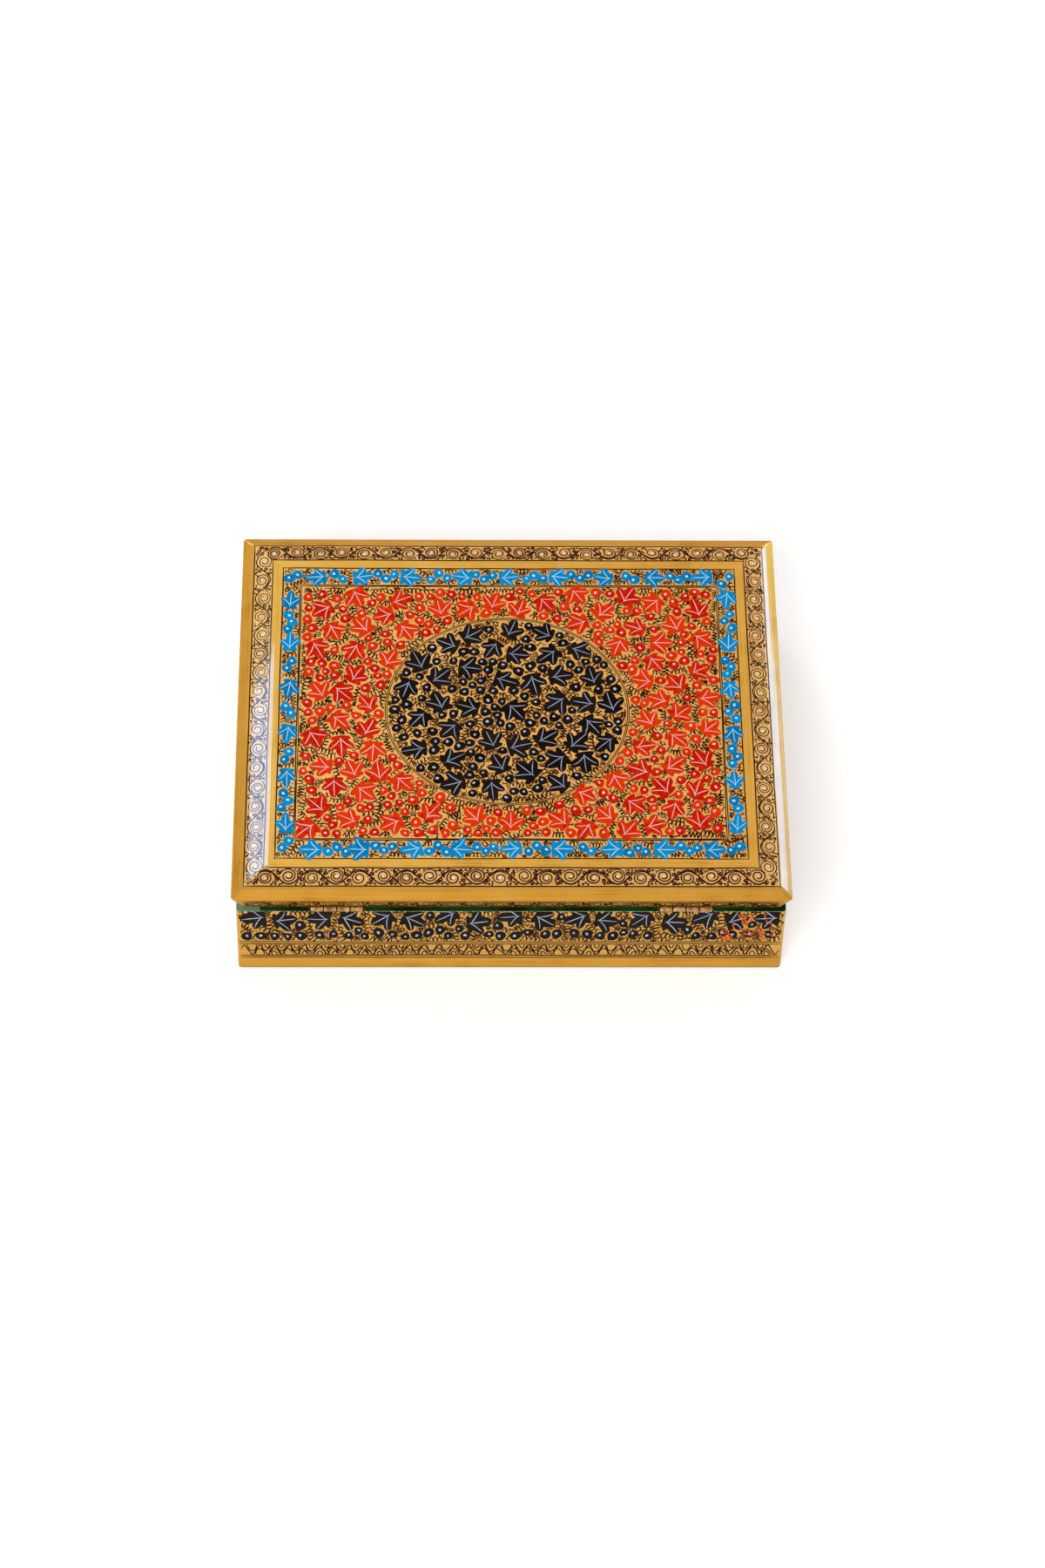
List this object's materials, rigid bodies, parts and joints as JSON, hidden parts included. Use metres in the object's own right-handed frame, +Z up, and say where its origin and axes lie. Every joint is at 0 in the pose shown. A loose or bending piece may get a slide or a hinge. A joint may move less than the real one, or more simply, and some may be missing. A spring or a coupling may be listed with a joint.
{
  "type": "hinged box",
  "caption": "Rectangular lacquered wooden box with a shallow bevelled lid on brass butt hinges, painted with leaf and scroll ornament on gold.",
  "frame": {"origin": "middle of the underside, on the surface that the box stands on", "axes": "+X along the length, +Y from the hinged back towards the front that opens, +Z up"},
  "size_m": [0.1806, 0.1426, 0.0479],
  "materials": {
    "gold_lacquer": "brushed gold paint under glossy clear lacquer, on wood",
    "dark_lacquer": "glossy green paint inside, dark paint underneath, on wood",
    "hinge_brass": "thin pressed brass, dulled",
    "red_paint": "opaque red paint under lacquer",
    "blue_paint": "opaque blue paint under lacquer",
    "black_paint": "opaque black paint under lacquer",
    "line_paint": "dark brown brush line under lacquer",
    "pale_paint": "pale vein and highlight paint under lacquer"
  },
  "bodies": {
    "base": {"base_front_wall": "gold_lacquer", "base_back_wall": "gold_lacquer", "base_left_wall": "gold_lacquer", "base_right_wall": "gold_lacquer", "base_floor": "dark_lacquer", "hinge_left_base_leaf": "hinge_brass", "hinge_left_pin": "hinge_brass", "hinge_left_base_nails": "hinge_brass", "hinge_right_base_leaf": "hinge_brass", "hinge_right_pin": "hinge_brass", "hinge_right_base_nails": "hinge_brass"},
    "lid": {"lid_top_board": "gold_lacquer", "lid_front_side": "gold_lacquer", "lid_back_side": "gold_lacquer", "lid_left_side": "gold_lacquer", "lid_right_side": "gold_lacquer", "hinge_left_lid_leaf": "hinge_brass", "hinge_left_lid_nails": "hinge_brass", "hinge_right_lid_leaf": "hinge_brass", "hinge_right_lid_nails": "hinge_brass"}
  },
  "joints": [
    {"name": "lid_hinge", "type": "hinge", "parent": "base", "child": "lid", "pos_m": [0, -0.0692, 0.03595], "axis": [1, 0, 0], "range_deg": [0, 125]}
  ]
}
